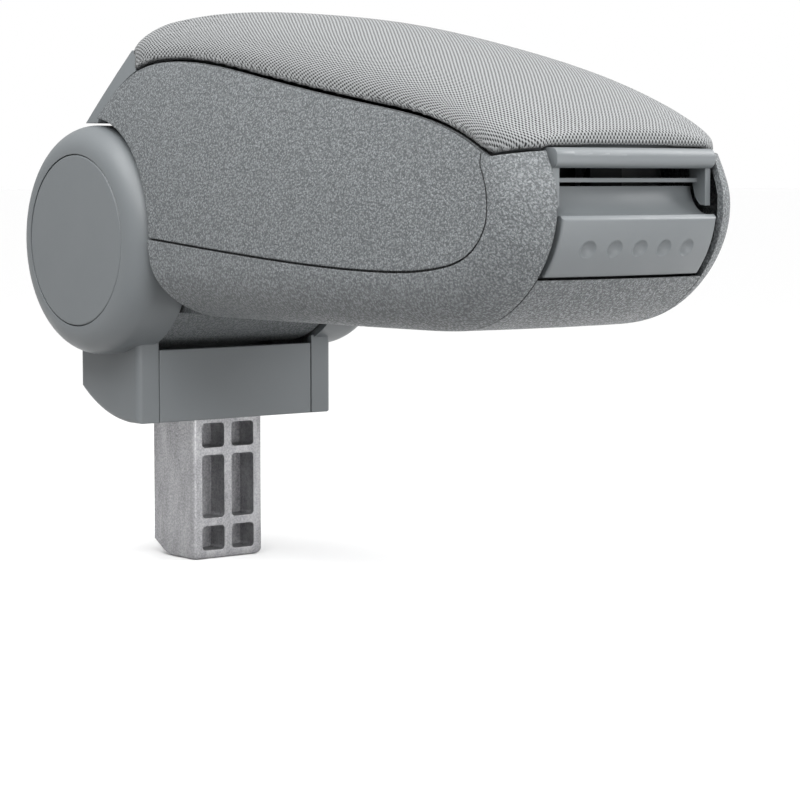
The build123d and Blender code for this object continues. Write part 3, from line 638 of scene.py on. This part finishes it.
SATIN = SatinPlastic("satin_grey", Slot.SATIN, colour=(0.132, 0.144, 0.151), roughness=0.46)
# The light tip colour is painted highlight on the grain's peaks. The dark base grey in its creases is painted
# shade.
GRAINED = GrainedPlastic(
    "grained_grey",
    Slot.GRAINED,
    colour=(0.076, 0.083, 0.087),
    roughness=0.29,
    painted_tip_highlight=(0.202, 0.216, 0.224),
)
DARK = SatinPlastic("dark_grey", Slot.DARK, colour=(0.018, 0.019, 0.02), roughness=0.55)
FABRIC = WovenFabric(
    "woven_grey",
    Slot.FABRIC,
    colour=(0.25, 0.258, 0.262),
    roughness=0.85,
    gap_colour=(0.004, 0.0045, 0.005),
)
CAST = DieCast(
    "raw_casting",
    Slot.CAST,
    colour=(0.42, 0.42, 0.43),
    roughness=0.4,
    dull_colour=(0.2, 0.2, 0.21),
)
STEEL = PlainMetal("plated_steel", Slot.STEEL, colour=(0.5, 0.5, 0.51), roughness=0.25)
BLACKED = PlainMetal("blacked_steel", Slot.STEEL, colour=(0.012, 0.0125, 0.013), roughness=0.5)
NYLON = SatinPlastic("pale_nylon", Slot.NYLON, colour=(0.6, 0.59, 0.55), roughness=0.5)


@dataclass
class Assembly:
    """Pieces that one body carries, with the finish that each of its solids wears."""

    body: Body
    wear: dict[str, Finish]

    def dress(self) -> None:
        """Gives each solid that stays in view its finish."""
        for node, finish in self.wear.items():
            self.clothe(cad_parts[node], finish)

    def build(self) -> None:
        """Makes the pieces that take the place of solids, where the body has any."""

    def clothe(self, piece: bpy.types.Object, finish: Finish) -> None:
        """Gives one piece its finish and reports it.

        Args:
            piece: the object that wears the finish.
            finish: the finish it wears.
        """
        piece.data.materials.clear()
        piece.data.materials.append(finish.material())
        LOG.info("%s: %s wears %s", self.body.value, piece.name, finish.title)

    def recast(self, node: str, name: str) -> bpy.types.Object:
        """Copies a solid's mesh into a new piece, with its triangles joined and no normals of its own.

        Args:
            node: the solid that is copied.
            name: the new piece's name.

        Returns:
            The new piece.
        """
        work = bmesh.new()
        work.from_mesh(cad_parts[node].data)
        bmesh.ops.remove_doubles(work, verts=work.verts[:], dist=WELD)
        piece = add_mesh(name, work)
        if piece.data.has_custom_normals:
            piece.data.attributes.remove(piece.data.attributes["custom_normal"])
        return piece

    def shift(self, piece: bpy.types.Object, step: Callable[[bmesh.types.BMVert], Vector]) -> None:
        """Moves each point of a piece by a step of its own, worked out before any point moves.

        Args:
            piece: the piece that changes.
            step: what gives a point's step.
        """
        work = bmesh.new()
        work.from_mesh(piece.data)
        work.normal_update()
        steps = [step(vertex) for vertex in work.verts]
        for vertex, move in zip(work.verts, steps):
            vertex.co += move
        work.to_mesh(piece.data)
        work.free()

    def shade(self, piece: bpy.types.Object, crease: float) -> None:
        """Shades a piece smoothly, but keeps edges sharp from the crease angle on, in radians."""
        piece.data.shade_smooth()
        piece.data.set_sharp_from_angle(angle=crease)

    def stand_in(self, piece: bpy.types.Object, node: str, finish: Finish, crease: float) -> None:
        """Shades a piece, puts it in a solid's place and gives it its finish.

        Args:
            piece: the piece that takes the place.
            node: the solid that it replaces.
            finish: the finish it wears.
            crease: the angle from which an edge stays sharp, in radians.
        """
        self.shade(piece, crease)
        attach(piece, self.body.value)
        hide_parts(node)
        self.clothe(piece, finish)

    def settle(self, piece: bpy.types.Object) -> None:
        """Applies a piece's modifiers to its mesh.

        Args:
            piece: the piece that has the modifiers.
        """
        shaped = bpy.data.meshes.new_from_object(piece.evaluated_get(bpy.context.evaluated_depsgraph_get()))
        old = piece.data
        piece.modifiers.clear()
        piece.data = shaped
        bpy.data.meshes.remove(old)


@dataclass
class Bracket(Assembly):
    """Die-cast post, its moulded covers with the round hubs, and the hinge shaft."""

    body: Body = Body.BRACKET
    wear: dict[str, Finish] = field(
        default_factory=lambda: {
            "mount_post": CAST,
            "bracket_cover_left": SATIN,
            "bracket_cover_right": SATIN,
            "bracket_front_plate": SATIN,
            "hub_cap_left": SATIN,
            "hub_cap_right": SATIN,
            "hinge_shaft": STEEL,
            "shaft_nuts": STEEL,
            "hinge_washers": NYLON,
            "cover_screws": STEEL,
        }
    )


@dataclass
class Box(Assembly):
    """Grained box with its flank panels, tray, hinge arms and the bracket that carries the latch."""

    body: Body = Body.BOX
    wear: dict[str, Finish] = field(
        default_factory=lambda: {
            "side_shell_left": GRAINED,
            "side_shell_right": GRAINED,
            "bottom_shell": GRAINED,
            "storage_tray": DARK,
            "tray_screws": STEEL,
            "hinge_arm_left": STEEL,
            "hinge_arm_right": STEEL,
            "arm_rivets": STEEL,
            "hinge_bushes": NYLON,
            "latch_bracket": DARK,
            "latch_pin": STEEL,
            "lid_hinge_pin": STEEL,
        }
    )
    sides: tuple[str, ...] = ("left", "right")
    groove_open: float = 0.4 * MM
    wall_tilt: float = 0.5
    crease: float = math.radians(15.0)

    def build(self) -> None:
        """Makes the flank panels, drawn in at their rims so that their grooves open towards the eye."""
        for side in self.sides:
            panel = self.recast(f"side_inlay_{side}", f"flank_panel_{side}")
            self.shift(panel, self.draw_in)
            self.stand_in(panel, f"side_inlay_{side}", GRAINED, self.crease)

    def draw_in(self, vertex: bmesh.types.BMVert) -> Vector:
        """Works out the step that takes a point of a panel's rim inwards.

        Args:
            vertex: a point of the panel.

        Returns:
            The step, which is nothing away from the rim.
        """
        outward = Vector()
        for face in vertex.link_faces:
            if abs(face.normal.y) < self.wall_tilt:
                outward += face.normal
        outward.y = 0.0
        return outward.normalized() * -self.groove_open


@dataclass
class Latch(Assembly):
    """Release paddle on the nose, with a row of dimples for the fingertips, and its return spring."""

    body: Body = Body.LATCH
    wear: dict[str, Finish] = field(default_factory=dict)
    solid_name: str = "latch_paddle"
    paddle_name: str = "release_paddle"
    spring_solid: str = "latch_spring"
    spring_name: str = "return_spring"
    dimple_count: int = 5
    dimple_pitch: float = 12.64 * MM
    dimple_ball: float = 5.1 * MM
    dimple_x: float = 286.2 * MM
    dimple_z: float = 79.5 * MM
    bow_radius: float = 295.6 * MM
    ball_steps: int = 4
    crease: float = math.radians(32.0)

    def build(self) -> None:
        """Makes the paddle and the spring."""
        self.paddle()
        self.spring()

    def spring(self) -> None:
        """Makes the spring from its solid, where the solid lies, and hides the solid."""
        spring = self.recast(self.spring_solid, self.spring_name)
        self.shade(spring, self.crease)
        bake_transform(spring)
        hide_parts(self.spring_solid)
        self.clothe(spring, STEEL)

    def paddle(self) -> None:
        """Makes the paddle with its dimples at their full width."""
        paddle = self.recast(self.solid_name, self.paddle_name)
        balls = self.balls()
        cut = paddle.modifiers.new("dimples", "BOOLEAN")
        cut.operation = "DIFFERENCE"
        cut.solver = "EXACT"
        cut.object = balls
        self.settle(paddle)
        bpy.data.objects.remove(balls)
        self.stand_in(paddle, self.solid_name, SATIN, self.crease)

    def balls(self) -> bpy.types.Object:
        """Makes the row of balls that the dimples are cut with, along the bow of the nose.

        Returns:
            The balls, as one object.
        """
        work = bmesh.new()
        for number in range(self.dimple_count):
            across = (number - (self.dimple_count - 1) / 2) * self.dimple_pitch
            back = self.bow_radius - math.sqrt(self.bow_radius**2 - across**2)
            place = Matrix.Translation((self.dimple_x - back, across, self.dimple_z))
            bmesh.ops.create_icosphere(
                work, subdivisions=self.ball_steps, radius=self.dimple_ball, matrix=place
            )
        return add_mesh("dimple_balls", work)


@dataclass
class Lid(Assembly):
    """Moulded lid frame with its padded top."""

    body: Body = Body.LID
    wear: dict[str, Finish] = field(
        default_factory=lambda: {"lid_base": SATIN, "lid_striker": BLACKED, "striker_screws": BLACKED}
    )
    solid_name: str = "lid_cushion"
    pad_name: str = "lid_pad"
    slack: float = 0.3 * MM
    swell: float = 0.8 * MM
    voxel: float = 1.5 * MM
    pressure: float = 4.0
    frames: int = 12
    board_tilt: float = -0.5
    fill: float = 0.85
    crown_step: float = 4.0 * MM
    level_least: float = 0.05
    corner_from: float = 235.0 * MM
    corner_to: float = 258.0 * MM
    corner_fill: float = 1.9 * MM

    def build(self) -> None:
        """Makes the padded top and puts it in the plain cushion's place."""
        pad = self.blank()
        self.unroll(pad)
        self.inflate(pad)
        pad.data.shade_smooth()
        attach(pad, self.body.value)
        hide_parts(self.solid_name)
        self.clothe(pad, FABRIC)

    def blank(self) -> bpy.types.Object:
        """Makes the slightly drawn-in pad, remeshed into even faces that lie on its form.

        Returns:
            The pad.
        """
        form = self.recast(self.solid_name, "pad_form")
        self.shift(form, self.tuck)
        pad = add_object(self.pad_name, form.data.copy())
        even = pad.modifiers.new("even", "REMESH")
        even.mode = "VOXEL"
        even.voxel_size = self.voxel
        lie = pad.modifiers.new("lie", "SHRINKWRAP")
        lie.target = form
        self.settle(pad)
        bpy.data.objects.remove(form)
        return pad

    def tuck(self, vertex: bmesh.types.BMVert) -> Vector:
        """Works out a point's step from the plain cushion to the blank pad.

        Args:
            vertex: a point of the cushion.

        Returns:
            The step: a little inwards, and outwards at the front corners.
        """
        share = share_of(vertex.co.x, self.corner_from, self.corner_to)
        outward = math.copysign(1.0, vertex.co.y)
        full = self.corner_fill * share * max(vertex.normal.y * outward, 0.0)
        return vertex.normal * -self.slack + Vector((0.0, outward * full, 0.0))

    def inflate(self, pad: bpy.types.Object) -> None:
        """Blows the pad up as cloth and keeps each point within the swell of where it started.

        Args:
            pad: the pad, held at its underside.
        """
        start = [vertex.co.copy() for vertex in pad.data.vertices]
        held = pad.vertex_groups.new(name="board")
        under = [vertex.index for vertex in pad.data.vertices if vertex.normal.z < self.board_tilt]
        held.add(under, 1.0, "REPLACE")
        cloth = pad.modifiers.new("cloth", "CLOTH")
        cloth.settings.use_pressure = True
        cloth.settings.uniform_pressure_force = self.pressure
        cloth.settings.vertex_group_mass = held.name
        cloth.settings.effector_weights.gravity = 0.0
        cloth.point_cache.frame_start = FIRST_FRAME
        cloth.point_cache.frame_end = self.frames
        for number in range(FIRST_FRAME, self.frames + 1):
            bpy.context.scene.frame_set(number)
        self.settle(pad)
        bpy.context.scene.frame_set(FIRST_FRAME)
        for vertex, before in zip(pad.data.vertices, start):
            move = vertex.co - before
            if move.length > self.swell:
                vertex.co = before + move.normalized() * self.swell
        pad.vertex_groups.clear()

    def crown(self, vertices: Iterable[bpy.types.MeshVertex]) -> tuple[list[float], list[float], list[float]]:
        """Follows the pad's crown along the pad.

        Args:
            vertices: the pad's points.

        Returns:
            The stations, the crown's height at each of them, and the way along the crown up to each.
        """
        tops: dict[int, float] = {}
        for vertex in vertices:
            key = math.floor(vertex.co.x / self.crown_step)
            tops[key] = max(tops.get(key, vertex.co.z), vertex.co.z)
        stations = [(key + 0.5) * self.crown_step for key in sorted(tops)]
        heights = [tops[key] for key in sorted(tops)]
        ways = [0.0]
        for (station, height), (station_on, height_on) in pairwise(zip(stations, heights)):
            ways.append(ways[-1] + math.hypot(station_on - station, height_on - height))
        return stations, heights, ways

    def unroll(self, pad: bpy.types.Object) -> None:
        """Writes the weave's map: the way along the crown, and the way down each side and end from it.

        Args:
            pad: the pad that gets the map.
        """
        stations, heights, ways = self.crown(pad.data.vertices)
        spots = []
        for vertex in pad.data.vertices:
            point, normal = vertex.co, vertex.normal
            at = min(max(bisect_right(stations, point.x), 1), len(stations) - 1)
            share = share_of(point.x, stations[at - 1], stations[at])
            way = ways[at - 1] + share * (ways[at] - ways[at - 1])
            drop = max(heights[at - 1] + share * (heights[at] - heights[at - 1]) - point.z, 0.0)
            level = abs(normal.x) + abs(normal.y) + self.level_least
            spots.append((way + drop * normal.x / level, point.y + drop * normal.y / level))
        weave = pad.data.uv_layers.new(name=FABRIC.map_name)
        for loop in pad.data.loops:
            weave.data[loop.index].uv = spots[loop.vertex_index]


@dataclass(frozen=True)
class Softbox:
    """A square softbox: its place and its side in metres, and its power in watts."""

    name: str
    place: Place
    side: float
    power: float


@dataclass
class Studio:
    """Pale floor, soft light and the camera."""

    floor_size: float = 40.0
    floor_level: float = -64.0 * MM
    floor_colour: Colour = (0.9, 0.9, 0.9)
    floor_roughness: float = 0.9
    camera_place: Place = (0.9846, -0.6715, 0.1062)
    camera_turn: float = 51.49
    camera_dip: float = 4.8
    lens: float = 117.84
    aim: Place = (0.12, 0.0, 0.08)
    sky_span: Span = (-0.5, 0.8)
    sky_light: Span = (0.35, 0.72)
    sky_colour: Colour = (1.0, 1.0, 1.0)
    overhead_way: Place = (0.15, -0.1, 1.0)
    overhead_spread: float = 60.0
    overhead_power: float = 1.4
    softboxes: tuple[Softbox, ...] = (
        Softbox("key_softbox", (0.55, -0.5, 0.6), side=0.35, power=4.0),
        Softbox("flank_softbox", (0.06, -0.28, 0.42), side=0.25, power=1.1),
        Softbox("nose_softbox", (0.67, -0.28, 0.32), side=0.2, power=0.9),
        Softbox("front_softbox", (0.75, 0.05, -0.04), side=0.3, power=2.0),
        Softbox("rim_softbox", (0.45, 0.5, 0.45), side=0.4, power=4.0),
    )

    def build(self) -> None:
        """Sets up the floor, the light and the camera."""
        bpy.context.scene.view_settings.view_transform = "Standard"
        self.floor()
        self.sky()
        self.overhead()
        for softbox in self.softboxes:
            self.hang(softbox)
        self.camera()

    def floor(self) -> None:
        """Makes the floor that the post's end stands on."""
        work = bmesh.new()
        bmesh.ops.create_grid(work, x_segments=1, y_segments=1, size=self.floor_size)
        bmesh.ops.translate(work, verts=work.verts[:], vec=(0.0, 0.0, self.floor_level))
        floor = add_mesh("floor", work)
        paint = bpy.data.materials.new("floor_paint")
        paint.use_nodes = True
        shader = paint.node_tree.nodes["Principled BSDF"]
        shader.inputs["Base Color"].default_value = (*self.floor_colour, 1.0)
        shader.inputs["Roughness"].default_value = self.floor_roughness
        floor.data.materials.append(paint)
        floor.visible_diffuse = False

    def sky(self) -> None:
        """Gives the world a white light that is brighter overhead, in front of a white backdrop."""
        world = bpy.data.worlds.new("studio")
        world.use_nodes = True
        graph = Graph(world.node_tree)
        parts = graph.add("ShaderNodeSeparateXYZ")
        graph.feed(parts.inputs[0], graph.add("ShaderNodeTexCoord").outputs["Generated"])
        light = graph.remap(parts.outputs["Z"], self.sky_span, self.sky_light)
        seen = graph.add("ShaderNodeLightPath").outputs["Is Camera Ray"]
        backdrop = world.node_tree.nodes["Background"].inputs
        graph.feed(backdrop["Color"], (*self.sky_colour, 1.0))
        graph.feed(backdrop["Strength"], graph.math("MAXIMUM", light, seen))
        bpy.context.scene.world = world

    def overhead(self) -> None:
        """Adds a broad, even light from far above."""
        light = bpy.data.lights.new("overhead_light", "SUN")
        light.angle = math.radians(self.overhead_spread)
        light.energy = self.overhead_power
        self.turn(add_object(light.name, light), Vector(self.overhead_way))

    def hang(self, softbox: Softbox) -> None:
        """Hangs a softbox that faces the armrest.

        Args:
            softbox: the softbox.
        """
        light = bpy.data.lights.new(softbox.name, "AREA")
        light.size = softbox.side
        light.energy = softbox.power
        lamp = add_object(light.name, light)
        lamp.location = softbox.place
        self.turn(lamp, Vector(softbox.place) - Vector(self.aim))

    def turn(self, lamp: bpy.types.Object, way: Vector) -> None:
        """Turns a lamp so that its light comes from the given way."""
        lamp.rotation_euler = way.to_track_quat("Z", "Y").to_euler()

    def camera(self) -> None:
        """Sets the camera at the viewing angle."""
        camera = add_object("camera", bpy.data.cameras.new("camera"))
        camera.data.lens = self.lens
        camera.location = self.camera_place
        camera.rotation_euler = (math.radians(90.0 - self.camera_dip), 0.0, math.radians(self.camera_turn))
        bpy.context.scene.camera = camera


def main() -> None:
    """Dresses the four bodies, builds their new pieces and sets up the studio."""
    logging.basicConfig(level=logging.INFO, format="%(name)s %(message)s")
    assemblies = (Bracket(), Box(), Lid(), Latch())
    for assembly in assemblies:
        assembly.dress()
    for assembly in assemblies:
        assembly.build()
    Studio().build()


if __name__ == "__main__":
    main()
